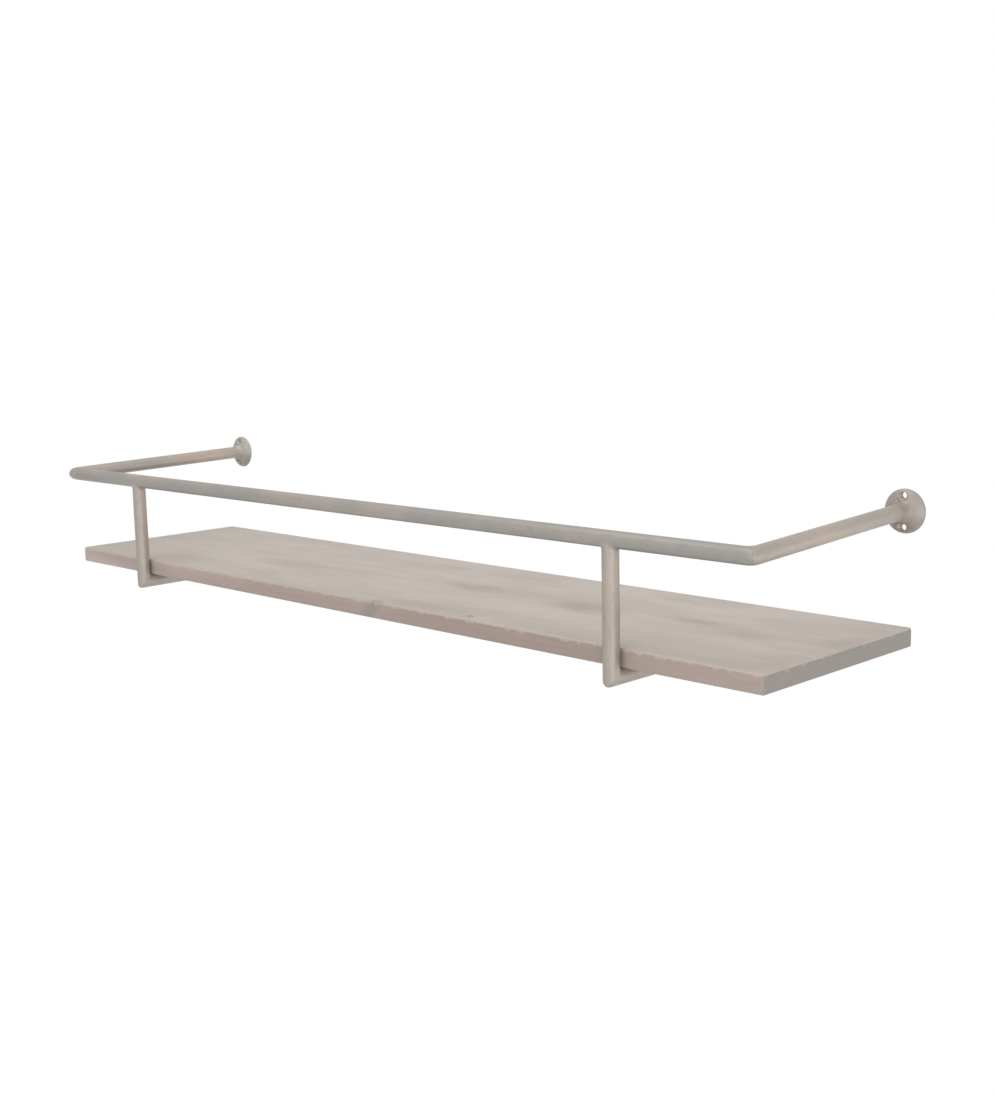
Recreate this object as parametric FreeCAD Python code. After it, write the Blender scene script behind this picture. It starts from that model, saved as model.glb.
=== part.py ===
"""Wall shelf: a wooden plank carried by a welded frame of round tube.

The frame is a gallery rail that loops out from two wall flanges and back,
spreading and dipping a little towards its front. Two posts hang from the front
rail, and each turns under the plank as an arm.
+X runs along the wall, +Y points into the wall and +Z is up, in millimetres.
The origin lies on the wall, midway between the flanges, at their height.
"""

import FreeCAD, Part
import math
import os

from FreeCAD import Vector

os.makedirs("parts", exist_ok=True)

# ---------------------------------------------------------------- sizes
# Frame of round tube
tube_diameter = 10.2
tube_wall = 1.2
flange_spacing = 673.0       # between the centres of the two wall flanges
rail_spread = 6.5            # each side rail's front end lies this far outside its flange
rail_rise = 5.0              # and this far below it
rail_reach = 166.0           # wall to the centre line of the front rail
frame_drop = 80.65            # front rail's centre line down to the arms' centre line
post_inset = 97.0            # front corner's centre to the post's centre line
weld_corner_radius = 3.0     # ground corner of a mitred weld
weld_corner_walls = 2.5      # largest ground radius in tube walls, so the bore stays closed
weld_corner_gap = 0.02       # ground edge to the tubes' outermost lines
weld_leg = 2.0               # fillet weld round the top of a post, along each tube
weld_run = 80.0              # degrees that it runs each way from the crotch

# Wall flanges
flange_diameter = 27.0
flange_rim = 1.4             # straight edge of the disc against the wall
flange_rim_round = 0.6
flange_crown = 7.0           # height that the dome would reach on its axis
neck_height = 9.5            # wall to the end of the collar round the tube
neck_wall = 0.7
neck_blend = 3.0             # hollow curve from the dome up to the collar
socket_floor = 2.5           # metal left between the tube's end and the wall
socket_clearance = 0.05
wall_screw_hole = 4.0
wall_screw_head = 7.2
wall_screw_seat = 2.6        # straight part of the hole, next to the wall

# Plank
board_thickness = 12.0
board_end_inset = 1.0        # end of the plank inside the side rail's outer face
board_front_gap = 0.5        # plank's front edge to the back of the posts
board_wall_gap = 8.0
board_edge_round = 1.5

# Wood screws, up through the arms into the plank, with their heads in the tube
board_screw_diameter = 3.0
board_screw_head = 6.0
board_screw_head_height = 2.2
board_screw_point = 3.0
board_screw_cover = 2.0      # wood left above the point
board_screw_margin = 40.0    # screw to the plank's front and back edges
shank_hole_clearance = 0.25  # round the shank, in the arm's upper wall
head_hole_clearance = 0.3    # round the head, in the arm's lower wall
head_seat_clearance = 0.05   # head to the bore that it bears on
pilot_clearance = 0.05
cross_slot_width = 0.9
cross_slot_length = 3.6
cross_slot_depth = 1.1

# Plugs in the rear ends of the arms, which bear on the wall
plug_head = 2.0
plug_head_chamfer = 0.6
plug_stem = 9.0
plug_clearance = 0.1

# -------------------------------------------------------- derived places
tube_radius = tube_diameter / 2
bore_radius = tube_radius - tube_wall
flange_x = flange_spacing / 2
rail_x = flange_x + rail_spread
post_x = rail_x - post_inset
front_y = -rail_reach
rail_z = -rail_rise
arm_z = rail_z - frame_drop
corner_round = min(weld_corner_radius, weld_corner_walls * tube_wall)

flange_radius = flange_diameter / 2
neck_radius = tube_radius + neck_wall
wall_screw_offset = (neck_radius + flange_radius) / 2

board_x = rail_x + tube_radius - board_end_inset
board_front = front_y + tube_radius + board_front_gap
board_back = -board_wall_gap
board_bottom = arm_z + tube_radius
board_top = board_bottom + board_thickness
board_screw_rows = (board_front + board_screw_margin, board_back - board_screw_margin)
screw_radius = board_screw_diameter / 2
screw_head_radius = board_screw_head / 2
screw_seat = arm_z + math.sqrt(bore_radius ** 2
                               - (screw_head_radius + head_seat_clearance) ** 2)

along = Vector(1, 0, 0)
to_wall = Vector(0, 1, 0)
up = Vector(0, 0, 1)
cutter_size = 3 * tube_diameter
margin = 1.0                 # how far a cutter starts outside what it cuts
nearly = 0.01                # for telling edges apart by length and direction


# ------------------------------------------------------------- helpers
def tube(start, direction, length):
    """Straight run of the hollow tube."""
    skin = Part.makeCylinder(tube_radius, length, start, direction)
    bore = Part.makeCylinder(bore_radius, length, start, direction)
    return skin.cut(bore)


def trim(solid, point, outward):
    """Cut away what lies beyond the plane through a point."""
    return solid.cut(Part.makeCylinder(cutter_size, cutter_size, point, outward))


def block(low, high):
    """Box between two corners."""
    size = high - low
    return Part.makeBox(size.x, size.y, size.z, low)


def rounded_edges(solid, direction, radius, chosen):
    """Round the straight edges that run along a direction and that are chosen."""
    edges = []
    for edge in solid.Edges:
        run = edge.Vertexes[-1].Point - edge.Vertexes[0].Point
        if run.cross(direction).Length < nearly * run.Length and chosen(edge.CenterOfMass):
            edges.append(edge)
    return solid.makeFillet(radius, edges)


def turned(outline, axis_point, axis):
    """Full turn of a closed outline."""
    return Part.Face(Part.Wire(outline)).revolve(axis_point, axis, 360)


def line(start, end):
    return Part.makeLine(start, end)


def save(solid, name):
    """Write one node as a single clean solid or a group of solids."""
    pieces = solid.Solids
    shape = pieces[0] if len(pieces) == 1 else Part.makeCompound(pieces)
    shape.exportStep("parts/" + name + ".step")
    print(name, len(pieces), "solid(s)", round(shape.Volume, 1), "mm3", shape.isValid())


def ground_corner(centre, first, second):
    """Space inside a welded corner whose outer edge is ground round.

    Two tubes leave the corner's centre in the two directions.
    """
    spread = math.sin(first.getAngle(second))
    outer = centre - (first + second) * ((tube_radius + weld_corner_gap) / spread)
    reach = 4 * rail_x
    sheet = Part.Face(Part.makePolygon([outer, outer + first * reach,
                                        outer + (first + second) * reach,
                                        outer + second * reach, outer]))
    edge_way = first.cross(second).normalize()
    sheet.translate(edge_way * -cutter_size)
    wedge = sheet.extrude(edge_way * 2 * cutter_size)
    return rounded_edges(wedge, edge_way, corner_round,
                         lambda middle: (middle - outer).Length < tube_radius)


# ------------------------------------------------------- gallery rails
# The three rails meet in mitred corners, welded and ground round outside.
# A side rail is straight, from its front corner to the mouth of its flange.
def front_corner(side):
    """Centre of the corner, and the two ways that the rails leave it."""
    centre = Vector(side * rail_x, front_y, rail_z)
    mouth = Vector(side * flange_x, -neck_height, 0)
    return centre, Vector(-side, 0, 0), (mouth - centre).normalize()


def side_rail_end(side):
    """Centre of the side rail's end face, on the floor of its socket."""
    way = front_corner(side)[2]
    return Vector(side * flange_x, -neck_height, 0) + way * (neck_height - socket_floor)


def front_rail():
    """Straight rail along the front, mitred at both ends."""
    reach = rail_x + tube_diameter
    rail = tube(Vector(-reach, front_y, rail_z), along, 2 * reach)
    for side in (-1, 1):
        centre, front_way, side_way = front_corner(side)
        rail = trim(rail, centre, side_way - front_way)
        rail = rail.common(ground_corner(centre, front_way, side_way))
    return rail


def side_rail(side):
    """Rail from a front corner back into its flange's socket."""
    centre, front_way, side_way = front_corner(side)
    start = centre - side_way * tube_diameter
    rail = tube(start, side_way, (side_rail_end(side) - start).Length)
    rail = trim(rail, centre, front_way - side_way)
    return rail.common(ground_corner(centre, front_way, side_way))


# ------------------------------------------------------ posts and arms
def foot_corner(side):
    """Space inside the ground corner where a post turns into its arm."""
    return ground_corner(Vector(side * post_x, front_y, arm_z), up, to_wall)


def fillet_weld(crossing, side):
    """Weld in the crotch between the post and the rail, with a flat face.

    Two tubes of one size meet in two half ellipses at 45 degrees. A three-sided
    section follows one of them: its face stands a throat outside the crotch, and
    the narrower course sinks it into the metal where the tubes run flush.
    """
    throat = weld_leg / math.sqrt(2)
    root = throat / 2
    course = Part.Ellipse(crossing + Vector(side * tube_radius, 0, -tube_radius),
                          crossing + Vector(0, tube_radius - throat, 0), crossing)
    reach = math.radians(weld_run)
    arc = Part.ArcOfEllipse(course, -reach, reach)
    start = arc.value(-reach)
    across = Vector(side, 0, 1).normalize()
    outward = arc.tangent(-reach)[0].cross(across)
    if outward.dot(start - crossing) < 0:
        outward = -outward
    face_middle = start + outward * throat
    section = Part.makePolygon([face_middle + across * throat, face_middle - across * throat,
                                start - outward * root, face_middle + across * throat])
    return Part.Wire(arc.toShape()).makePipeShell([section], True, False)


def post(side):
    """Upright: coped to the front rail at the top, mitred at the foot."""
    crossing = Vector(side * post_x, front_y, rail_z)
    start = Vector(side * post_x, front_y, arm_z - tube_diameter)
    length = frame_drop + tube_diameter
    upright = Part.makeCylinder(tube_radius, length, start, up)
    for weld_side in (-1, 1):
        upright = upright.fuse(fillet_weld(crossing, weld_side))
    upright = upright.cut(Part.makeCylinder(bore_radius, length, start, up))
    rail_start = crossing - along * cutter_size
    upright = upright.cut(Part.makeCylinder(tube_radius, 2 * cutter_size, rail_start, along))
    upright = trim(upright, Vector(side * post_x, front_y, arm_z), Vector(0, 1, -1))
    return upright.common(foot_corner(side))


def screw_holes(x, y):
    """Cutters for one screw: a shank hole through the arm's upper wall, a head hole below."""
    middle = Vector(x, y, arm_z)
    reach = tube_radius + margin
    return (Part.makeCylinder(screw_radius + shank_hole_clearance, reach, middle, up),
            Part.makeCylinder(screw_head_radius + head_hole_clearance, reach, middle, -up))


def under_arm(side):
    """Arm that carries the plank, from the post's foot back to the wall."""
    x = side * post_x
    start = front_y - tube_diameter
    arm = tube(Vector(x, start, arm_z), to_wall, -plug_head - start)
    arm = trim(arm, Vector(x, front_y, arm_z), Vector(0, -1, 1))
    arm = arm.common(foot_corner(side))
    for y in board_screw_rows:
        for cutter in screw_holes(x, y):
            arm = arm.cut(cutter)
    return arm


def end_plug(side):
    """Plug whose stem sits in the arm and whose head bears on the wall."""
    centre = Vector(side * post_x, 0, arm_z)
    head_start = centre - to_wall * plug_head
    head = Part.makeCylinder(tube_radius, plug_head, head_start, to_wall)
    rim = [edge for edge in head.Edges
           if abs(edge.CenterOfMass.y) < nearly and len(edge.Vertexes) == 1]
    head = head.makeChamfer(min(plug_head_chamfer, plug_head / 2), rim)
    stem_start = head_start - to_wall * plug_stem
    stem = Part.makeCylinder(bore_radius - plug_clearance, plug_stem, stem_start, to_wall)
    return head.fuse(stem).removeSplitter()


# -------------------------------------------------------- wall flanges
def flange(side):
    """Shallow domed disc with a collar that the side rail's end sits in."""
    centre = Vector(side * flange_x, 0, 0)

    def at(radius, height):
        return centre + along * radius - to_wall * height

    rise = flange_crown - flange_rim
    dome_radius = (flange_radius ** 2 + rise ** 2) / (2 * rise)
    dome_centre = flange_crown - dome_radius

    def dome_height(radius):
        return dome_centre + math.sqrt(dome_radius ** 2 - radius ** 2)

    middle = (flange_radius + neck_radius) / 2
    dome = Part.Arc(at(flange_radius, flange_rim),
                    at(middle, dome_height(middle)),
                    at(neck_radius, dome_height(neck_radius))).toShape()
    body = turned([line(at(0, 0), at(flange_radius, 0)),
                   line(at(flange_radius, 0), at(flange_radius, flange_rim)),
                   dome,
                   line(at(neck_radius, dome_height(neck_radius)), at(neck_radius, neck_height)),
                   line(at(neck_radius, neck_height), at(0, neck_height)),
                   line(at(0, neck_height), at(0, 0))], centre, to_wall)

    def ring(radius, height):
        """Edge that runs round the flange at a radius and a height."""
        for edge in body.Edges:
            if (abs(edge.Length - 2 * math.pi * radius) < nearly
                    and abs(edge.CenterOfMass.y + height) < nearly):
                return edge

    body = body.makeFillet(neck_blend, [ring(neck_radius, dome_height(neck_radius))])
    body = body.makeFillet(flange_rim_round, [ring(flange_radius, flange_rim)])

    side_way = front_corner(side)[2]
    body = body.cut(Part.makeCylinder(tube_radius + socket_clearance, neck_height,
                                      side_rail_end(side), -side_way))
    hole_radius = wall_screw_hole / 2
    head_radius = wall_screw_head / 2
    seat_depth = head_radius - hole_radius
    for end in (-1, 1):
        foot = centre + up * end * wall_screw_offset
        seat = foot - to_wall * wall_screw_seat
        mouth = seat - to_wall * seat_depth
        body = body.cut(Part.makeCylinder(hole_radius, neck_height, foot, -to_wall))
        body = body.cut(Part.makeCone(hole_radius, head_radius, seat_depth, seat, -to_wall))
        body = body.cut(Part.makeCylinder(head_radius, neck_height, mouth, -to_wall))
    return body


# ----------------------------------------------------------- the plank
def shelf_board():
    """One plank with softened edges and pilot holes for the screws."""
    board = block(Vector(-board_x, board_front, board_bottom),
                  Vector(board_x, board_back, board_top))
    board = board.makeFillet(board_edge_round, board.Edges)
    pilot_radius = screw_radius + pilot_clearance
    pilot_depth = board_thickness - board_screw_cover + pilot_clearance
    for side in (-1, 1):
        for y in board_screw_rows:
            foot = Vector(side * post_x, y, board_bottom)
            board = board.cut(Part.makeCylinder(pilot_radius, pilot_depth, foot, up))
    return board


def board_screw(x, y):
    """Pan-head wood screw with a cross slot, pointing up, its head inside the arm."""
    bottom = screw_seat - board_screw_head_height
    tip = board_top - board_screw_cover

    def at(radius, z):
        return Vector(x + radius, y, z)

    screw = turned([line(at(0, bottom), at(screw_head_radius, bottom)),
                    line(at(screw_head_radius, bottom), at(screw_head_radius, screw_seat)),
                    line(at(screw_head_radius, screw_seat), at(screw_radius, screw_seat)),
                    line(at(screw_radius, screw_seat), at(screw_radius, tip - board_screw_point)),
                    line(at(screw_radius, tip - board_screw_point), at(0, tip)),
                    line(at(0, tip), at(0, bottom))], at(0, bottom), up)
    half_length = cross_slot_length / 2
    half_width = cross_slot_width / 2
    for half_x, half_y in ((half_length, half_width), (half_width, half_length)):
        slot = block(Vector(x - half_x, y - half_y, bottom - margin),
                     Vector(x + half_x, y + half_y, bottom + cross_slot_depth))
        screw = screw.cut(slot)
    return screw


# -------------------------------------------------------- write the nodes
save(shelf_board(), "shelf_board")
save(front_rail(), "front_rail")
for name, side in (("left", -1), ("right", 1)):
    save(side_rail(side), name + "_side_rail")
    save(post(side), name + "_post")
    save(under_arm(side), name + "_under_arm")
save(Part.makeCompound([flange(side) for side in (-1, 1)]), "wall_flanges")
save(Part.makeCompound([board_screw(side * post_x, y)
                        for side in (-1, 1) for y in board_screw_rows]), "board_screws")
save(Part.makeCompound([end_plug(side) for side in (-1, 1)]), "arm_end_plugs")
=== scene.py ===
# %% [markdown]
# # A plank shelf on a frame of round tube
# The shelf hangs on a wall. A gallery rail loops out from two domed flanges and back, two posts
# hang from its front, and each post turns under the plank as an arm. This lesson starts from
# the plain solids of the real construction and gives each piece its finished shape and surface.
# The solids already stand in the right place, so every piece is modelled in the same frame:
# +X along the wall, +Y into the wall, +Z up, and the origin on the wall between the flanges.

# %% Load the solids
import math

import bmesh
import bpy
from mathutils import Matrix, Vector


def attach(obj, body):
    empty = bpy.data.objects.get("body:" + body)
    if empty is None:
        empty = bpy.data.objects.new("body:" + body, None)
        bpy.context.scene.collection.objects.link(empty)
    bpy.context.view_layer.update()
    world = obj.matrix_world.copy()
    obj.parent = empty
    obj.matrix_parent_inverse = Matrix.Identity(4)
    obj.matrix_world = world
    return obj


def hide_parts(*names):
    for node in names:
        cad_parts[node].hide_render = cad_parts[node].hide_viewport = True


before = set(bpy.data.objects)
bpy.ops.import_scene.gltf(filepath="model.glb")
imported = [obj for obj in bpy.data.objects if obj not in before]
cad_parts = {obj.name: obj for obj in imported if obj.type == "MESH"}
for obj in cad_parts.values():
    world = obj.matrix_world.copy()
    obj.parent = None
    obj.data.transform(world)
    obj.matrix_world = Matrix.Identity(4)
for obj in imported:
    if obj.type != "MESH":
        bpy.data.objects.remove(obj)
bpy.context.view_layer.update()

mm = 0.001


print("solids:", sorted(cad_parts))

# %% [markdown]
# ## Where the camera stands
# The shelf is seen from its right front, a little above the gallery rail. The camera circles
# the point that it aims at, so two angles, a distance and a small roll say where it stands.
# Four such numbers are easier to change than a place and a rotation. The lens is a normal one.

# %% The camera
azimuth, elevation, roll = (math.radians(degrees) for degrees in (45.065, 9.137, -1.198))
aim = Vector((69.412, -80.0, -38.667)) * mm
distance = 1041.5 * mm
backward = Vector((math.sin(azimuth) * math.cos(elevation),
                   -math.cos(azimuth) * math.cos(elevation),
                   math.sin(elevation)))
level = (-backward).cross(Vector((0, 0, 1))).normalized()
upright = level.cross(-backward)
sideways = level * math.cos(roll) + upright * math.sin(roll)
upwards = upright * math.cos(roll) - level * math.sin(roll)
lens = bpy.data.cameras.new("studio_camera")
lens.lens = 49.538
lens.sensor_width = 36.0
lens.clip_start = 0.01
camera = bpy.data.objects.new("studio_camera", lens)
bpy.context.scene.collection.objects.link(camera)
camera.matrix_world = Matrix((sideways, upwards, backward)).transposed().to_4x4()
camera.location = aim + backward * distance
bpy.context.scene.camera = camera
print("camera at", [round(value, 3) for value in camera.location])

# %% [markdown]
# ## Surface patterns as sums
# A finish is a chain of nodes. Written as sums, such as `base + 0.2 * spots`, it is far
# shorter to read. The small class below stands for one output of a node: adding or
# multiplying it adds a Math node, and its method `node` makes any other kind. Math nodes see
# only grey numbers, so colours go through Mix and places through Vector Math.

# %% A wire between nodes
class Wire:
    """One output of a node, with plain arithmetic."""

    def __init__(self, tree, socket):
        self.tree = tree
        self.socket = socket

    def node(self, kind, settings, sockets, output=0):
        """Add a node: first its settings, then a value or a wire for each socket."""
        made = self.tree.nodes.new(kind)
        for name, value in settings.items():
            setattr(made, name, value)
        for name, value in sockets.items():
            if isinstance(value, Wire):
                self.tree.links.new(value.socket, made.inputs[name])
            else:
                made.inputs[name].default_value = value
        return Wire(self.tree, made.outputs[output])

    def maths(self, operation, first, second=0.0):
        return self.node("ShaderNodeMath", {"operation": operation}, {0: first, 1: second})

    def __add__(self, other):
        return self.maths("ADD", self, other)

    def __radd__(self, other):
        return self.maths("ADD", other, self)

    def __sub__(self, other):
        return self.maths("SUBTRACT", self, other)

    def __rsub__(self, other):
        return self.maths("SUBTRACT", other, self)

    def __mul__(self, other):
        return self.maths("MULTIPLY", self, other)

    def __rmul__(self, other):
        return self.maths("MULTIPLY", other, self)

    def __truediv__(self, other):
        return self.maths("DIVIDE", self, other)

    def __abs__(self):
        return self.maths("ABSOLUTE", self)


# %% A new finish and its colours
def shade(red, green, blue):
    """Colour from 0 to 255 as a screen shows it, turned into light."""
    def light(value):
        value = value / 255
        return value / 12.92 if value <= 0.04045 else ((value + 0.055) / 1.055) ** 2.4
    return (light(red), light(green), light(blue), 1.0)


def new_finish(name):
    """Material with its shader node, and the place on the shelf in millimetres."""
    finish = bpy.data.materials.new(name)
    finish.use_nodes = True
    tree = finish.node_tree
    shader = tree.nodes["Principled BSDF"]
    spot = tree.nodes.new("ShaderNodeTexCoord")
    metres = Wire(tree, spot.outputs["Object"])
    place = metres.node("ShaderNodeVectorMath", {"operation": "SCALE"},
                        {0: metres, "Scale": 1 / mm})
    return finish, shader, place


def feed(shader, **wires):
    """Join wires or set values on the shader's own sockets."""
    for name, value in wires.items():
        socket = shader.inputs[name.replace("_", " ").title().replace("Ior", "IOR")]
        if isinstance(value, Wire):
            value.tree.links.new(value.socket, socket)
        else:
            socket.default_value = value


def mix(amount, first, second):
    """Colour between two colours."""
    return amount.node("ShaderNodeMix", {"data_type": "RGBA"}, {0: amount, 6: first, 7: second}, 2)


def tinted(colour, amount, tone):
    """Colour multiplied by a tone, as far as the amount says."""
    return amount.node("ShaderNodeMix", {"data_type": "RGBA", "blend_type": "MULTIPLY"},
                       {0: amount, 6: colour, 7: tone}, 2)


# %% [markdown]
# A pattern reads a place and gives a number. Multiplying the place by less than 1 along one
# axis draws the pattern out along it, and moving the place shows another part of the same
# pattern. The soft step `rise` then picks out the spots of a noise, or marks one side of a
# line, and all the masks of the finishes below are products of such steps.

# %% Places
def stretched(place, x, y, z):
    return place.node("ShaderNodeVectorMath", {"operation": "MULTIPLY"}, {0: place, 1: (x, y, z)})


def moved(place, x, y, z):
    return place.node("ShaderNodeVectorMath", {"operation": "ADD"}, {0: place, 1: (x, y, z)})


def axes(place):
    """The three numbers of a place."""
    split = place.tree.nodes.new("ShaderNodeSeparateXYZ")
    place.tree.links.new(place.socket, split.inputs[0])
    return [Wire(place.tree, split.outputs[name]) for name in ("X", "Y", "Z")]


def off_plane(place, point, direction):
    """How far a place lies from a plane, in millimetres."""
    away = moved(place, *(-Vector(point)))
    return away.node("ShaderNodeVectorMath", {"operation": "DOT_PRODUCT"},
                     {0: away, 1: tuple(Vector(direction).normalized())}, 1)


# %% Patterns, steps and relief
def noise(place, scale, detail=3.0, roughness=0.5):
    """Soft random pattern round 0.5."""
    return place.node("ShaderNodeTexNoise", {}, {"Vector": place, "Scale": scale,
                                                 "Detail": detail, "Roughness": roughness})


def rise(value, low, high):
    """0 below low, 1 above high, soft between."""
    return value.node("ShaderNodeMapRange", {"interpolation_type": "SMOOTHSTEP"},
                      {"Value": value, "From Min": low, "From Max": high})


def near(place, point, full, none):
    """1 within a distance of a point in millimetres, 0 beyond a larger one."""
    gap = place.node("ShaderNodeVectorMath", {"operation": "DISTANCE"}, {0: place, 1: point}, 1)
    return 1 - rise(gap, full, none)


def hypotenuse(first, second):
    """Long side of a right triangle, from its two short ones."""
    square = first * first + second * second
    return square.maths("SQRT", square)


def bump(height, depth, strength):
    """Relief of that depth in millimetres."""
    return height.node("ShaderNodeBump", {}, {"Height": height, "Distance": depth * mm,
                                              "Strength": strength})


# %% [markdown]
# ## Light for a small metal object
# Round tube shows its shape through broad soft highlights, so the lamps are large panels. The
# main one stands in front, some 30 degrees to the left of the camera. A second one stands low
# on the right and lights the undersides too, and a third hangs over the plank. A weak one
# behind on the right fills the sides that face away. The world adds even light from all
# round. What the camera and the metal see of it is white, as in a studio tent.

# %% Lamps
def lamp(name, watts, wide, tall, place):
    """Soft panel that looks at the middle of the shelf."""
    panel = bpy.data.lights.new(name, "AREA")
    panel.shape = "RECTANGLE"
    panel.size, panel.size_y = wide, tall
    panel.energy = watts
    thing = bpy.data.objects.new(name, panel)
    bpy.context.scene.collection.objects.link(thing)
    thing.location = place
    thing.rotation_euler = (aim - thing.location).to_track_quat("-Z", "Y").to_euler()
    print(name, watts, "W")


lamp("front_panel", 10.6, 2.0, 2.0, Vector((0.55, -1.9, 0.4)))
lamp("side_panel", 8.9, 1.3, 1.6, Vector((1.75, -0.95, -0.3)))
lamp("top_panel", 8.6, 1.6, 1.6, Vector((-0.1, -0.35, 1.5)))
lamp("rear_panel", 4.0, 1.2, 1.4, Vector((1.6, 0.9, -0.35)))


# %% A world that shines evenly and looks white
def seen_by(tree, *rays):
    """1 for these kinds of ray, 0 for all others."""
    path = tree.nodes.new("ShaderNodeLightPath")
    seen, *others = [Wire(tree, path.outputs[ray]) for ray in rays]
    for other in others:
        seen = seen.maths("MAXIMUM", seen, other)
    return seen


even_light = 0.62
world = bpy.data.worlds.new("studio_world")
world.use_nodes = True
bpy.context.scene.world = world
tree = world.node_tree
tree.nodes.clear()
seen = seen_by(tree, "Is Camera Ray", "Is Glossy Ray", "Is Transmission Ray")
even = seen.node("ShaderNodeBackground", {}, {"Color": (1, 1, 1, 1), "Strength": even_light})
white = seen.node("ShaderNodeBackground", {}, {"Color": (1, 1, 1, 1), "Strength": 1.0})
both = seen.node("ShaderNodeMixShader", {}, {0: seen, 1: even, 2: white})
tree.links.new(both.socket, tree.nodes.new("ShaderNodeOutputWorld").inputs["Surface"])

bpy.context.scene.view_settings.view_transform = "Standard"
print("world", len(tree.nodes), "nodes")

# %% [markdown]
# ## The studio floor
# The floor lies almost a metre below the shelf. For the camera it is mostly a white that
# shines by itself, mixed with a plain matt surface. The shadow of the shelf falls on that matt
# part, and all other light meets an ordinary pale floor.

# %% Floor
floor_height, floor_side, own_shine = -0.95, 80, 0.9
bpy.ops.object.select_all(action="DESELECT")
bpy.ops.mesh.primitive_plane_add(size=1, location=(0, 0, floor_height))
floor = bpy.context.object
floor.name = "studio_floor"
floor.scale = (floor_side, floor_side, 1)
bpy.ops.object.transform_apply(location=True, rotation=True, scale=True)
floor_finish = bpy.data.materials.new("pale_floor")
floor_finish.use_nodes = True
tree = floor_finish.node_tree
tree.nodes.clear()
seen = seen_by(tree, "Is Camera Ray", "Is Glossy Ray")
matt = seen.node("ShaderNodeBsdfDiffuse", {}, {"Color": (0.8, 0.8, 0.8, 1)})
glow = seen.node("ShaderNodeEmission", {}, {"Color": (1, 1, 1, 1), "Strength": 1.06})
both = seen.node("ShaderNodeMixShader", {}, {0: seen * own_shine, 1: matt, 2: glow})
tree.links.new(both.socket, tree.nodes.new("ShaderNodeOutputMaterial").inputs["Surface"])
floor.data.materials.append(floor_finish)
print("floor", round(floor.dimensions.x), "m wide")

# %% [markdown]
# ## Sizes that the pieces share
# These are the sizes of the real construction, in millimetres, each used by several pieces.
# The gallery spreads by 6.5 mm and dips by 5 mm towards its front, so its side rails are not
# quite square to the wall. Each corner has a centre and two directions that leave it. The
# two corner radii are those of the dressed welds.

# %% Sizes and corners
tube_radius, bore_radius = 5.1, 3.9
tube_faces = 64
flange_x, rail_x, post_x = 336.5, 343.0, 246.0
front_y, rail_z, arm_z = -166.0, -5.0, -85.65
neck_height, socket_floor = 9.5, 2.5
rail_corner, foot_corner = 4.5, 2.3
plug_head = 2.0
board_low = Vector((-347.1, -160.4, -80.55))
board_high = Vector((347.1, -8.0, -68.55))
screw_radius, screw_head_radius = 1.5, 3.0
screw_rows = (-120.4, -48.0)
sides = {"left": -1, "right": 1}

inward = {side: Vector((-sign, 0, 0)) for side, sign in sides.items()}
front_corner = {side: Vector((sign * rail_x, front_y, rail_z)) for side, sign in sides.items()}
collar_mouth = {side: Vector((sign * flange_x, -neck_height, 0)) for side, sign in sides.items()}
side_way = {side: (collar_mouth[side] - front_corner[side]).normalized() for side in sides}
rail_end = {side: collar_mouth[side] + side_way[side] * (neck_height - socket_floor)
            for side in sides}
foot = {side: Vector((sign * post_x, front_y, arm_z)) for side, sign in sides.items()}
crossing = {side: Vector((sign * post_x, front_y, rail_z)) for side, sign in sides.items()}
rightward, to_wall, up = Vector((1, 0, 0)), Vector((0, 1, 0)), Vector((0, 0, 1))
print("side rail leaves square by",
      round(math.degrees(side_way["right"].angle(to_wall)), 2), "degrees")

# %% [markdown]
# ## Modelling by hand, in code
# Each piece starts as a primitive at its own place and size. In edit mode its edges are
# picked by their place or by the angle of their faces, and the usual tools shape them. The
# helpers below keep the repeated steps short: a clean start, picking, carving with a cutter,
# and the finish that makes a piece stand for its solid.

# %% Start and pick
def select_only(*pieces):
    """Leave edit mode, and select these pieces and nothing else."""
    if bpy.context.object and bpy.context.object.mode != "OBJECT":
        bpy.ops.object.mode_set(mode="OBJECT")
    bpy.ops.object.select_all(action="DESELECT")
    for piece in pieces:
        bpy.context.view_layer.objects.active = piece
        piece.select_set(True)


def start_piece(add, name, **options):
    """Add a primitive, with its place in its mesh, and nothing else selected."""
    select_only()
    add(**options)
    piece = bpy.context.object
    piece.name = name
    bpy.ops.object.transform_apply(location=True, rotation=True, scale=True)
    return piece


def edit(piece):
    """Go into edit mode on one piece, with all of it selected."""
    select_only(piece)
    bpy.ops.object.mode_set(mode="EDIT")
    bpy.ops.mesh.select_mode(type="VERT")
    bpy.ops.mesh.select_all(action="SELECT")


def leave():
    bpy.ops.object.mode_set(mode="OBJECT")


def pick_edges(wanted):
    """Select only the edges that pass a test."""
    bpy.ops.mesh.select_mode(type="EDGE")
    bpy.ops.mesh.select_all(action="DESELECT")
    mesh = bmesh.from_edit_mesh(bpy.context.object.data)
    for edge in [edge for edge in mesh.edges if wanted(edge)]:
        edge.select_set(True)
    bmesh.update_edit_mesh(bpy.context.object.data)


# %% Carve, turn and finish
def apply_modifier(piece, kind, **settings):
    """Add a modifier, set it and apply it."""
    select_only(piece)
    modifier = piece.modifiers.new(kind.lower(), kind)
    for name, value in settings.items():
        setattr(modifier, name, value)
    bpy.ops.object.modifier_apply(modifier=modifier.name)


def carve(piece, cutter):
    """Take another shape out of a piece, and throw that shape away."""
    apply_modifier(piece, "BOOLEAN", operation="DIFFERENCE", solver="EXACT", object=cutter)
    bpy.data.objects.remove(cutter)


def turned_to(way):
    """Rotation that lays a primitive's Z axis along a direction."""
    return Vector(way).to_track_quat("Z", "Y").to_euler()


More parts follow.
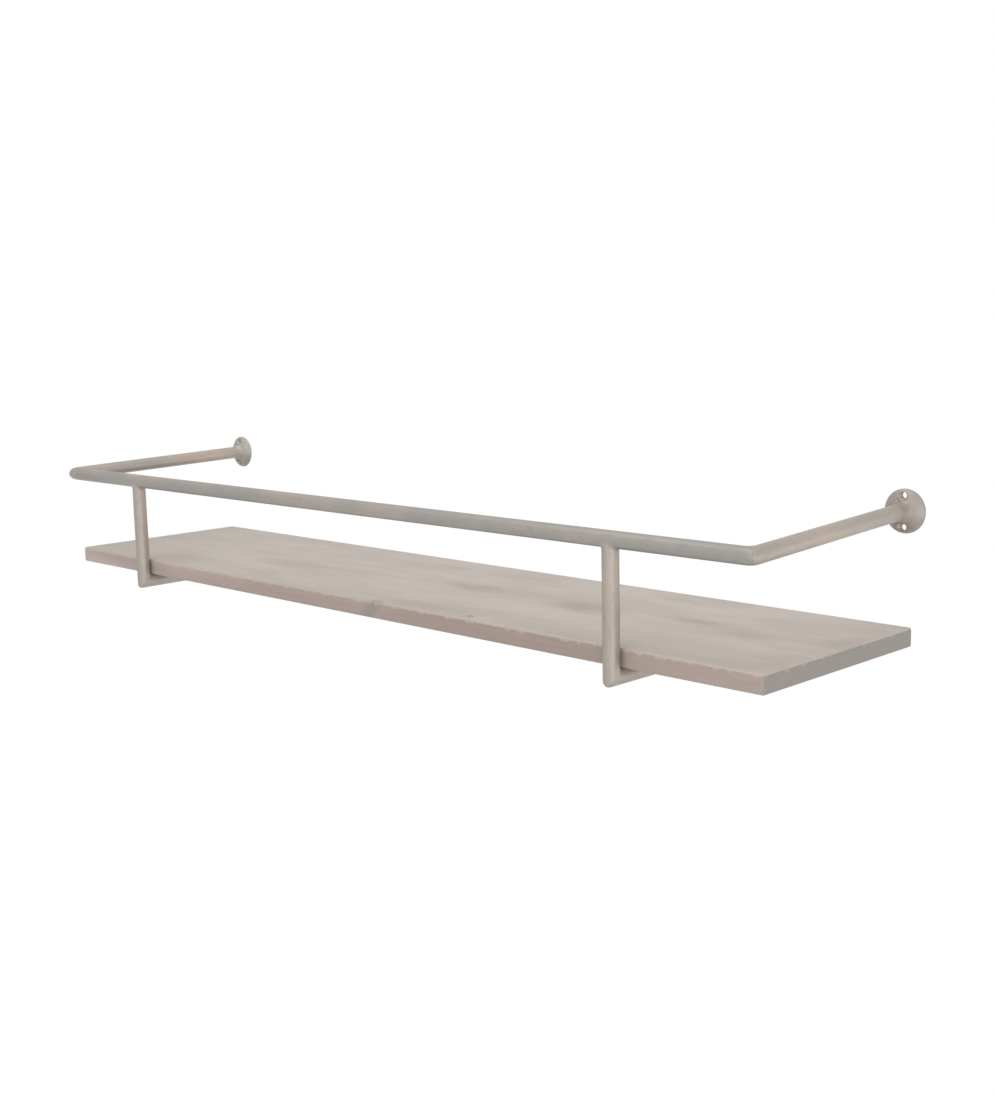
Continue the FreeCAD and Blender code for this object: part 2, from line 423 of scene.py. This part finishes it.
def rod(name, start, end, radius, faces=tube_faces):
    """Solid cylinder between two places in millimetres."""
    return start_piece(bpy.ops.mesh.primitive_cylinder_add, name, vertices=faces,
                       radius=radius * mm, depth=(end - start).length * mm,
                       location=(start + end) / 2 * mm, rotation=turned_to(end - start))


def complete(piece, node, finish, angle=35):
    """Smooth the shading, give the finish, and let the piece stand for its node."""
    select_only(piece)
    bpy.ops.object.shade_smooth_by_angle(angle=math.radians(angle))
    piece.data.materials.clear()
    piece.data.materials.append(finish)
    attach(piece, "root")
    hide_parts(node)
    print(piece.name, len(piece.data.polygons), "faces")


# %% [markdown]
# ## Antique bronze on welded tube
# The tube is steel with a brushed, antiqued bronze coat. Its colour drifts between copper,
# olive and a dull plum over a few centimetres, with finer mottling in it, and the gloss drifts
# too. The patches and the faint hair lines of the brush run along the tube, so the pattern is
# drawn out along it, and each direction of tube has a finish of its own. The front rail is
# painted a little darker and greyer than the posts and arms, and the side rails lighter: these
# are painted shade and painted light on one and the same coat. A flange is smoother, its pattern
# isn't drawn out, and each of the two has its own tones: the left one is painted lighter and
# greyer than the right, which is painted light. Where two tubes are welded and ground flush, a
# thin faint line stays at the joint. Paint on an unwrapped mesh could do the same, but noise
# read at the place on the shelf needs no unwrapping, and it runs on from tube to tube.

# %% Bronze
def seam(place, corner, across):
    """Line under 1 mm wide where two tubes meet in a plane, up to 10 mm from their corner."""
    off = abs(off_plane(place, corner, across))
    return (1 - rise(off, 0.1, 0.45)) * near(place, tuple(corner), 9.0, 10.5)


def drawn_out(place, run, share):
    """Place whose numbers along the run shrink to a share, which draws a pattern out there."""
    return stretched(place, *[share if runs else 1.0 for runs in run])


def bronze(name, run, joints, tones, grain=0.35, spots=0.22):
    """Antique bronze coat. Grain is the strength of its relief, spots that of its mottling."""
    finish, shader, place = new_finish(name)
    olive, copper, plum = [shade(*tone) for tone in tones]
    drawn = drawn_out(place, run, 0.4)
    brushed = drawn_out(place, run, 0.03)
    drift = noise(drawn, 0.035, 3.0)
    patches = noise(moved(drawn, 40, 0, 90), 0.12, 4.0, 0.55)
    mottle = noise(drawn, 0.42, 4.0, 0.6)
    colour = mix(rise(drift, 0.36, 0.64), olive, copper)
    colour = mix(rise(patches, 0.46, 0.7) * 0.6, colour, plum)
    colour = tinted(colour, rise(mottle, 0.42, 0.75) * spots, shade(226, 218, 212))
    for corner, across in joints:
        colour = tinted(colour, seam(place, corner, across) * 0.12, shade(150, 132, 120))
    gloss = 0.37 + 0.1 * rise(patches, 0.3, 0.7) + 0.05 * mottle
    relief = 0.6 * noise(place, 0.5, 3.0) + 0.4 * noise(brushed, 5.0, 2.0)
    feed(shader, base_color=colour, roughness=gloss, normal=bump(relief, 0.03, grain),
         metallic=0.42, ior=1.45, specular_tint=(0.85, 0.83, 0.81, 1.0))
    print("finish", name, len(finish.node_tree.nodes), "nodes")
    return finish


# %% Tones of the tubes and flanges: olive, copper and plum
# The tones differ by run as painted light and shade: the front rail's are darker and greyer than
# the posts' and arms', and the side rails' are lighter.
front_tones_painted_darker = (154, 152, 147), (167, 158, 150), (157, 150, 147)
side_tones_painted_lighter = (167, 162, 153), (181, 167, 156), (170, 158, 153)
post_tones = (160, 156, 147), (173, 161, 151), (162, 152, 149)
# The left flange's tones are painted lighter and greyer than the right one's: painted light on two
# alike flanges.
flange_tones_painted_light = {"left": ((168, 165, 160), (171, 166, 160), (167, 162, 157)),
                "right": ((158, 149, 144), (162, 151, 145), (155, 145, 141))}
rail_joints = [(front_corner[side], side_way[side] - inward[side]) for side in sides]
foot_joints = [(foot[side], up - to_wall) for side in sides]
bronze_along = bronze("antique_bronze_along", (1, 0, 0), rail_joints, front_tones_painted_darker)
bronze_deep = bronze("antique_bronze_deep", (0, 1, 0), rail_joints, side_tones_painted_lighter)
bronze_arm = bronze("antique_bronze_arm", (0, 1, 0), foot_joints, post_tones)
bronze_upright = bronze("antique_bronze_upright", (0, 0, 1), foot_joints, post_tones)
bronze_flange = {side: bronze(side + "_flange_bronze", (0, 0, 0), [], flange_tones_painted_light[side],
                              grain=0.05, spots=0.06) for side in sides}

# %% [markdown]
# ## A run of tube
# Tube has a wall, and its ends are cut by planes: square in a flange, under the rail and at a
# plug, and mitred at a corner. An outer and an inner cylinder are added in one mesh, a little
# too long, and bisected by the planes. Each cut is closed by bridging its two open circles.
#
# A welder dresses a mitred corner round. Every line along a tube meets its mirror line at the
# mitre, and all these pairs of lines get the same arc, so the rounding needs no cutting tool:
# the open end is moved back along the tube and extruded in short straight steps round the arc.
# That rounds the outside of the corner and fills its inside with a weld, both at once.

# %% Tube between two ends
spare_length = 12


def arc_steps(along, other, radius, steps=6):
    """Places round an arc that joins two lines, seen from the point where they would meet."""
    half = along.angle(other) / 2
    middle = (along + other).normalized() * (radius / math.sin(half))
    first = (along * (radius / math.tan(half)) - middle).normalized()
    last = -middle.normalized()
    return [middle + first.slerp(last, step / steps) * radius for step in range(steps + 1)]


def pick_rim(place, outward):
    """Select the open circles of a tube that lie in a plane."""
    pick_edges(lambda edge: edge.is_boundary and all(
        abs((corner.co - place * mm).dot(outward)) < 1e-6 for corner in edge.verts))


def tube_run(name, start, end, corners=(), squares=()):
    """Hollow tube, mitred at corners (place, own way, other way, radius) or cut square."""
    way = (end - start).normalized()
    first, last = start - way * spare_length, end + way * spare_length
    open_rod = dict(vertices=tube_faces, depth=(last - first).length * mm,
                    location=(first + last) / 2 * mm, rotation=turned_to(way),
                    end_fill_type="NOTHING")
    piece = start_piece(bpy.ops.mesh.primitive_cylinder_add, name, radius=tube_radius * mm,
                        **open_rod)
    edit(piece)
    bpy.ops.mesh.select_all(action="DESELECT")
    bpy.ops.mesh.primitive_cylinder_add(radius=bore_radius * mm, **open_rod)
    bpy.ops.mesh.flip_normals()
    for place, along, other, radius in list(corners) + [(*cut, None, None) for cut in squares]:
        outward = (other - along).normalized() if other else along.normalized()
        bpy.ops.mesh.select_all(action="SELECT")
        bpy.ops.mesh.bisect(plane_co=place * mm, plane_no=outward, clear_outer=True)
        pick_rim(place, outward)
        if other:
            path = arc_steps(along, other, radius)
            bpy.ops.transform.translate(value=path[0] * mm)
            for before, after in zip(path, path[1:]):
                bpy.ops.mesh.extrude_region_move(
                    TRANSFORM_OT_translate={"value": (after - before) * mm})
            pick_rim(place, outward)
        bpy.ops.mesh.bridge_edge_loops()
    leave()
    return piece


# %% [markdown]
# ## Gallery rails
# The front rail is mitred at both ends. Each side rail starts at the same mitre and ends
# inside its flange, square to its own line. They are separate lengths of tube, welded. A
# single curve with a round profile would be quicker to draw, but it would have no joints.

# %% Front rail and side rails
front_rail = tube_run("front_rail_tube", front_corner["left"], front_corner["right"],
                      corners=[(front_corner[side], inward[side], side_way[side], rail_corner)
                               for side in sides])
complete(front_rail, "front_rail", bronze_along)

for side in sides:
    rail = tube_run(side + "_side_rail_tube", front_corner[side], rail_end[side],
                    corners=[(front_corner[side], side_way[side], inward[side], rail_corner)],
                    squares=[(rail_end[side], side_way[side])])
    complete(rail, side + "_side_rail", bronze_deep)

# %% [markdown]
# ## Posts and arms
# A post is coped to fit round the front rail: a rod of the rail's size is carved out of its
# head, as a hole saw does in a workshop. A post with a flat end would leave a gap at each side
# or poke into the rail. Its foot meets the arm in a mitre that is dressed round, less than the
# rail's corners. The arm has a hole for each screw's shank in its upper wall and one for its
# head in the lower.

# %% Posts
head_gap, cope_gap = 0.25, 0.02
for side in sides:
    top = crossing[side] - up * head_gap
    post = tube_run(side + "_post_tube", foot[side], top,
                    corners=[(foot[side], up, to_wall, foot_corner)], squares=[(top, up)])
    reach = rightward * 20
    carve(post, rod("cope", crossing[side] - reach, crossing[side] + reach,
                    tube_radius + cope_gap))
    complete(post, side + "_post", bronze_upright)

# %% Arms
shank_hole_radius, head_hole_radius = screw_radius + 0.25, screw_head_radius + 0.3
for side, sign in sides.items():
    end = Vector((sign * post_x, -plug_head, arm_z))
    arm = tube_run(side + "_arm_tube", foot[side], end,
                   corners=[(foot[side], to_wall, up, foot_corner)], squares=[(end, to_wall)])
    for y in screw_rows:
        middle = Vector((sign * post_x, y, arm_z))
        carve(arm, rod("shank_hole", middle, middle + up * 7, shank_hole_radius, 32))
        carve(arm, rod("head_hole", middle - up * 7, middle, head_hole_radius, 48))
    complete(arm, side + "_under_arm", bronze_arm)

# %% [markdown]
# ## Fillet weld at a post's head
# The weld fills the crotch between the post and the rail with a hollow, slightly lumpy curve.
# Two short rods, a touch thicker than the tubes, are put in one mesh and remeshed into one
# skin. Smoothing then does what surface tension did to the molten metal: it fills the crotch.
# It also thins the rods, so away from the crotch they stay hidden and only the weld shows. A
# bevel along the joint would be simpler, but it would be even, and a weld isn't.

# %% Welds
weld_rod = tube_radius + 0.05
rail_reach, post_reach = 8.0, 11.5
skin_step, smoothing_rounds = 0.28, 190
lump_size, lump_height = 1.6, 0.12

weld_lumps = bpy.data.textures.new("weld_lumps", "CLOUDS")
weld_lumps.noise_scale = lump_size * mm
for side in sides:
    centre = crossing[side]
    reach, low = rightward * rail_reach, centre - up * post_reach
    weld = rod(side + "_post_weld", centre - reach, centre + reach, weld_rod)
    edit(weld)
    bpy.ops.mesh.select_all(action="DESELECT")
    bpy.ops.mesh.primitive_cylinder_add(vertices=tube_faces, radius=weld_rod * mm,
                                        depth=post_reach * mm, location=(centre + low) / 2 * mm)
    leave()
    apply_modifier(weld, "REMESH", mode="VOXEL", voxel_size=skin_step * mm)
    apply_modifier(weld, "SMOOTH", factor=0.5, iterations=smoothing_rounds)
    apply_modifier(weld, "DISPLACE", texture=weld_lumps, texture_coords="LOCAL",
                   strength=lump_height * mm, mid_level=0.5)
    complete(weld, side + "_post", bronze_upright, angle=60)

# %% [markdown]
# ## Wall flanges
# A flange is turned from the solid: a flat back, a thin straight rim, a shallow dome and a
# hollow curve up to the collar, which thins towards its lip. Half of its outline is drawn as a
# chain of points, extruded one after another, and spun round the axis, so one changed point
# changes the flange all round. The rail's socket and the two countersunk screw holes are
# carved out. The sockets slant to opposite sides, so each flange is made by itself and isn't a
# copy of the other.

# %% Outline of a flange
def arc(centre, radius, from_angle, to_angle, steps):
    """Points along an arc, with angles in degrees from the first axis."""
    points = []
    for step in range(steps + 1):
        angle = math.radians(from_angle + (to_angle - from_angle) * step / steps)
        points.append((centre[0] + radius * math.cos(angle), centre[1] + radius * math.sin(angle)))
    return points


flange_radius, rim, rim_round, back_bevel = 13.5, 1.4, 0.6, 0.3
crown, neck_radius, blend = 7.0, 5.8, 3.0
dome_rise = crown - rim
dome = (flange_radius ** 2 + dome_rise ** 2) / (2 * dome_rise)
dome_low = crown - dome
blend_r = neck_radius + blend
blend_h = dome_low + math.sqrt((dome + blend) ** 2 - blend_r ** 2)
blend_end = math.degrees(math.atan2(blend_h - dome_low, blend_r))
rim_r = flange_radius - rim_round
rim_h = dome_low + math.sqrt((dome - rim_round) ** 2 - rim_r ** 2)
rim_end = math.degrees(math.atan2(rim_h - dome_low, rim_r))
outline = [(0.0, 0.0), (flange_radius - back_bevel, 0.0), (flange_radius, back_bevel)]
outline += arc((rim_r, rim_h), rim_round, 0, rim_end, 5)
outline += arc((0, dome_low), dome, rim_end, blend_end, 12)[1:]
outline += arc((blend_r, blend_h), blend, 180 + blend_end, 194, 6)[1:]
outline += [(5.66, 8.2), (5.46, 8.8), (5.3, 9.25), (5.22, neck_height), (0.0, neck_height)]
print("flange outline", len(outline), "points, dome radius", round(dome, 2))


# %% A spun piece
def spun(name, outline, centre, axis, steps):
    """Outline of (radius, height) points, drawn by extruding a vertex and spun once round."""
    piece = start_piece(bpy.ops.mesh.primitive_plane_add, name, size=1)
    edit(piece)
    bpy.ops.mesh.merge(type="CENTER")
    here = centre + rightward * outline[0][0] + axis * outline[0][1]
    bpy.ops.transform.translate(value=here * mm)
    for before, after in zip(outline, outline[1:]):
        step = rightward * (after[0] - before[0]) + axis * (after[1] - before[1])
        bpy.ops.mesh.extrude_region_move(TRANSFORM_OT_translate={"value": step * mm})
    bpy.ops.mesh.select_all(action="SELECT")
    bpy.ops.mesh.spin(steps=steps, angle=math.tau, center=centre * mm, axis=axis)
    bpy.ops.mesh.select_all(action="SELECT")
    bpy.ops.mesh.remove_doubles(threshold=0.002 * mm)
    bpy.ops.mesh.normals_make_consistent(inside=False)
    leave()
    return piece


# %% Flanges
socket_gap = 0.03
hole_radius, sink_radius, sink_start = 2.0, 3.6, 2.6
hole_offset = (neck_radius + flange_radius) / 2
countersink = [(0, -1), (hole_radius, -1), (hole_radius, sink_start),
               (sink_radius, sink_start + sink_radius - hole_radius), (sink_radius, 12), (0, 12)]
for side, sign in sides.items():
    centre = Vector((sign * flange_x, 0, 0))
    flange = spun(side + "_flange", outline, centre, -to_wall, 96)
    carve(flange, rod("socket", rail_end[side], rail_end[side] - side_way[side] * 12,
                      tube_radius + socket_gap))
    for end in (-1, 1):
        carve(flange, spun("countersink", countersink, centre + up * hole_offset * end,
                           -to_wall, 48))
    complete(flange, "wall_flanges", bronze_flange[side])

# %% [markdown]
# ## The plank
# One solid plank of soft wood, with its edges broken by hand. A cube gets its size, its edges
# along the front and the ends are cut into short steps, and its outline is bevelled. Then the
# rounding of the top edges is worn at the front and the ends: its borders wander, which is
# what gives an old plank its nibbled edge. Only the corners of the mesh in that rounding move,
# because a displacement of the whole plank would make its faces wavy. Last come four pilot
# holes from below, one for each screw.

# %% Plank
def runs_along(edge, axis):
    """Whether an edge runs along an axis: 0 for X, 1 for Y."""
    return abs(edge.verts[0].co[axis] - edge.verts[1].co[axis]) > 1e-5


def on_an_end(edge):
    """Whether an edge lies on the left or right end of the plank."""
    return all(abs(abs(corner.co.x) - board_high.x * mm) < 1e-5 for corner in edge.verts)


def cut_twice(cuts, wanted):
    """Cut the edges that pass a test into equal steps, and cut those once more."""
    for _ in range(2):
        pick_edges(wanted)
        bpy.ops.mesh.subdivide(number_cuts=cuts)


edge_round = 1.5
board = start_piece(bpy.ops.mesh.primitive_cube_add, "plank", size=1,
                    location=(board_low + board_high) / 2 * mm,
                    scale=(board_high - board_low) * mm)
edit(board)
cut_twice(18, lambda edge: runs_along(edge, 0))
cut_twice(7, lambda edge: runs_along(edge, 1) and on_an_end(edge))
pick_edges(lambda edge: edge.calc_face_angle(0) > 1.0)
bpy.ops.mesh.bevel(offset=edge_round * mm, segments=4, profile=0.5)
leave()
print("plank", len(board.data.polygons), "faces")


# %% Worn edges
def worn(piece, name, wanted, noise_size, depth, direction):
    """Push the corners of a mesh that pass a test along an axis, by a random amount."""
    chosen = [corner.index for corner in piece.data.vertices if wanted(corner.co / mm)]
    piece.vertex_groups.new(name=name).add(chosen, 1.0, "REPLACE")
    pattern = bpy.data.textures.new(name, "CLOUDS")
    pattern.noise_scale = noise_size * mm
    pattern.noise_depth = 2
    apply_modifier(piece, "DISPLACE", texture=pattern, texture_coords="LOCAL",
                   vertex_group=name, strength=depth * mm, mid_level=0.0, direction=direction)
    print(name, len(chosen), "corners")


face_skin, rounding = 0.6, edge_round + 0.1
worn(board, "nibbled_front", lambda at: at.y < board_low.y + face_skin
     and at.z > board_high.z - rounding, noise_size=6.0, depth=-2.2, direction="Z")
worn(board, "nibbled_top", lambda at: at.z > board_high.z - 0.1
     and at.y < board_low.y + rounding, noise_size=8.0, depth=1.6, direction="Y")
worn(board, "nibbled_end", lambda at: abs(at.x) > board_high.x - face_skin
     and at.z > board_high.z - rounding, noise_size=6.0, depth=-1.5, direction="Z")

# %% Pilot holes for the screws
pilot_radius, pilot_depth = screw_radius + 0.05, 10.1
screw_places = [Vector((sign * post_x, y, 0)) for sign in sides.values() for y in screw_rows]
for screw_place in screw_places:
    mouth = screw_place + up * board_low.z
    carve(board, rod("pilot_hole", mouth - up, mouth + up * pilot_depth, pilot_radius, 32))
print("plank with holes", len(board.data.polygons), "faces")

# %% [markdown]
# ## Wood
# The grain runs along the plank. Real growth rings are cylinders round the tree's heart, so
# the pattern is a distance from a line below the plank, bent by slow noise: the same rings
# then show as long figure on top, as lines on the edge and as arcs on the end. Each ring
# darkens slowly towards its late wood and ends sharply.

# %% Rings and fibres
wood, shader, place = new_finish("stained_plank")
x, y, z = axes(place)
heart_y, heart_z, ring_width = -118, -128, 5.2
slow = noise(stretched(place, 0.12, 1.0, 1.0), 0.03, 3.0)
sway = noise(stretched(moved(place, 900, 30, 70), 0.15, 1.0, 1.0), 0.05, 2.0)
ring = hypotenuse(y - heart_y + 46 * (slow - 0.5), z - heart_z + 30 * (sway - 0.5)) / ring_width
band = ring.maths("FRACT", ring)
late = rise(band, 0.35, 0.95) * (1 - rise(band, 0.95, 1.0))
fibre = noise(stretched(place, 0.05, 1.0, 1.0), 1.1, 4.0, 0.6)
fine = noise(stretched(place, 0.04, 1.0, 1.0), 3.2, 2.0)
print("rings", ring_width, "mm wide, heart at", heart_y, heart_z)

# %% [markdown]
# The stain lies on all of it: two close browns in broad blotches, a third in smaller ones, the
# late wood and the fibres a little darker, and a greyer left end.

# %% Stain
blotch = noise(stretched(moved(place, 300, 200, 0), 0.35, 1.0, 1.0), 0.028, 4.0, 0.55)
stain = noise(stretched(moved(place, -200, 60, 0), 0.25, 1.0, 1.0), 0.045, 3.0)
colour = mix(rise(blotch, 0.36, 0.64), shade(191, 182, 174), shade(200, 190, 182))
colour = mix(rise(stain, 0.5, 0.68) * 0.4, colour, shade(184, 172, 163))
colour = tinted(colour, late * 0.09, shade(232, 222, 216))
colour = tinted(colour, rise(fibre, 0.5, 0.75) * 0.11, shade(226, 216, 210))
left_grey = (1 - rise(x, -330, -120)) * rise(blotch, 0.4, 0.6)
colour = mix(left_grey * 0.5, colour, shade(187, 184, 174))
print("stain", len(wood.node_tree.nodes), "nodes")

# %% [markdown]
# Here and there the grain flares up darker on the top. Each flame is given by its middle, its
# half length, its half width and its strength.

# %% Flames of darker grain on the top
def flame(middle_x, middle_y, long, wide):
    """Soft streak of darker grain, broken up by the fibres."""
    u = (x - middle_x) / long
    v = (y - middle_y + 14 * (sway - 0.5)) / wide
    return (1 - rise(hypotenuse(u, v), 0.15, 1.0)) * rise(fibre, 0.25, 0.6)


flames = [(53, -82, 34, 17, 0.75), (28, -80, 18, 10, 0.3), (-130, -98, 60, 13, 0.35),
          (-60, -92, 60, 12, 0.35), (238, -77, 34, 12, 0.6), (285, -88, 32, 13, 0.4),
          (340, -70, 14, 24, 0.45), (155, -86, 44, 20, 0.85), (-235, -140, 44, 22, 0.35),
          (-30, -36, 36, 13, 0.35), (185, -27, 26, 9, 0.4), (60, -150, 54, 9, 0.3),
          (-98, -150, 30, 9, 0.3), (-290, -60, 40, 10, 0.2)]
for *middle_and_size, strength in flames:
    colour = mix(flame(*middle_and_size) * strength, colour, shade(168, 153, 141))
print(len(flames), "flames")

# %% [markdown]
# The front edge is painted darker than the top, which is painted shade, and right of the middle
# it is darker still. The end is darker again: end grain drinks more stain, and painted shade adds
# to that. Both are told from the top by their distance from the plank's own faces, so they follow
# the plank's size.

# %% Front edge and ends
behind_front, below_top, from_end = y - board_low.y, board_high.z - z, board_high.x - abs(x)
# The front edge is painted darker than the top: painted shade over the stain's own browns and
# grain.
edge_stain_and_shade = mix(rise(x, -330, -100), shade(190, 177, 168), shade(174, 158, 149))
edge_stain_and_shade = mix(rise(stain, 0.44, 0.6) * 0.5, edge_stain_and_shade, shade(166, 151, 143))
dark_stretch = rise(x, 30, 90) * (1 - rise(x, 200, 260))
edge_stain_and_shade = mix(dark_stretch * 0.6, edge_stain_and_shade, shade(157, 142, 133))
edge_stain_and_shade = tinted(edge_stain_and_shade, late * 0.12, shade(228, 214, 206))
edge_stain_and_shade = tinted(edge_stain_and_shade, rise(fibre, 0.45, 0.75) * 0.16, shade(220, 206, 198))
front_edge = (1 - rise(behind_front, 0.8, 2.2)) * rise(below_top, 0.65, 1.85)
colour = mix(front_edge, colour, edge_stain_and_shade)
# The end is painted darker still: end grain that takes more stain, plus painted shade.
end_grain_and_shade = mix(rise(blotch, 0.4, 0.6), shade(150, 146, 140), shade(153, 144, 140))
end_grain_and_shade = tinted(end_grain_and_shade, late * 0.07, shade(222, 214, 206))
end_face = (1 - rise(from_end, 0.3, 1.2)) * rise(below_top, 0.65, 1.65)
colour = mix(end_face, colour, end_grain_and_shade)
print("edges", len(wood.node_tree.nodes), "nodes")

# %% [markdown]
# A branch once crossed the front edge and left a slanting band of darker knot there, with a
# border that wanders. A pin knot sits on the top further right, close to that edge.

# %% Knots
knot_x, knot_z, knot_slant = 28, -74, 0.85
wander = 3.0 * (noise(place, 0.2, 2.0) - 0.5)
off_knot = abs(x - knot_x - knot_slant * (z - knot_z) - wander)
knot_band = (1 - rise(off_knot, 2.5, 10.5)) * (1 - rise(behind_front, 1.0, 4.4))
colour = mix(knot_band * 0.78, colour, shade(148, 143, 137))
pin_knot, squeeze = (117, -153.5, board_high.z), (0.7, 1.0, 0.3)
squeezed_knot = tuple(value * share for value, share in zip(pin_knot, squeeze))
colour = mix(near(stretched(place, *squeeze), squeezed_knot, 0.8, 3.4) * 0.7, colour,
             shade(146, 134, 124))
print("knots at", knot_x, "and", pin_knot[0], "mm")

# %% [markdown]
# Hands have rubbed the top edges light. The light wood ends below in ragged teeth, whose depth
# is a noise that changes along the edge only.

# %% Worn light edge
def rubbed(pattern, low, high, off_face):
    """Light wood close to one face, from the top edge down to ragged teeth."""
    teeth = 0.2 + 2.4 * rise(pattern, low, high)
    return rise(teeth - below_top, -0.7, 0.5) * (1 - off_face)


along = noise(stretched(place, 1.0, 0.0, 0.0), 0.11, 2.0, 0.6)
athwart = noise(stretched(place, 0.0, 1.0, 0.0), 0.11, 2.0, 0.6)
front_worn = rubbed(along, 0.4, 0.6, rise(behind_front, 0.8, 1.6))
end_worn = rubbed(athwart, 0.44, 0.66, rise(from_end, 0.9, 1.5))
colour = mix(front_worn * 0.6, colour, shade(188, 176, 167))
colour = mix(end_worn * 0.5, colour, shade(182, 175, 168))
relief = 0.5 * fibre + 0.3 * fine + 0.35 * late + 0.5 * noise(place, 0.06, 2.0)
feed(shader, base_color=colour, roughness=0.62 + 0.2 * fibre, normal=bump(relief, 0.09, 0.6),
     ior=1.4)
complete(board, "shelf_board", wood, angle=50)

# %% [markdown]
# ## Screws and plugs
# Four pan-head screws pass up through the arms into the plank, their heads in the tube. The
# head's outline is a low dome, spun, and its cross slot is carved. The thread is buried in the
# wood, so the shank stays plain. A plug closes the rear end of each arm and bears on the wall.

# %% Screw finish and plug finish
zinc, shader, place = new_finish("bright_zinc")
bloom = noise(place, 0.9, 4.0)
colour = mix(rise(bloom, 0.35, 0.7), shade(158, 160, 162), shade(178, 176, 168))
feed(shader, base_color=colour, roughness=0.28 + 0.2 * bloom, metallic=1.0,
     normal=bump(noise(place, 5.0), 0.01, 0.5))

black_plastic, shader, place = new_finish("black_plastic")
grain = noise(place, 7.0, 3.0)
colour = mix(rise(noise(place, 0.5), 0.4, 0.7), shade(43, 42, 41), shade(56, 54, 52))
feed(shader, base_color=colour, roughness=0.5 + 0.15 * grain, normal=bump(grain, 0.02, 0.6))
print("finishes", zinc.name, "and", black_plastic.name)

# %% Screws
seat, head_height, point_length = -83.22, 2.2, 3.0
slot_width, slot_length, slot_depth = 0.9, 3.6, 1.1
head_low, tip = seat - head_height, board_high.z - 2.0
screw_outline = [(0, head_low), (1.9, head_low), (2.55, head_low + 0.25), (2.88, head_low + 0.7),
                 (screw_head_radius, head_low + 1.3), (screw_head_radius, seat),
                 (screw_radius, seat), (screw_radius, tip - point_length), (0, tip)]
for number, screw_place in enumerate(screw_places, 1):
    screw = spun("board_screw_%d" % number, screw_outline, screw_place, up, 48)
    for wide, deep in ((slot_width, slot_length), (slot_length, slot_width)):
        slot = start_piece(bpy.ops.mesh.primitive_cube_add, "slot", size=1,
                           location=(screw_place + up * head_low) * mm,
                           scale=Vector((wide, deep, 2 * slot_depth)) * mm)
        carve(screw, slot)
    complete(screw, "board_screws", zinc)

# %% Plugs
plug_radius, plug_length = bore_radius - 0.1, 11.0
plug_outline = [(0, 0), (4.5, 0), (tube_radius, 0.6), (tube_radius, plug_head),
                (plug_radius, plug_head), (plug_radius, plug_length - 0.6),
                (plug_radius - 0.5, plug_length), (0, plug_length)]
for side, sign in sides.items():
    plug = spun(side + "_arm_plug", plug_outline, Vector((sign * post_x, 0, arm_z)), -to_wall,
                tube_faces)
    complete(plug, "arm_end_plugs", black_plastic)
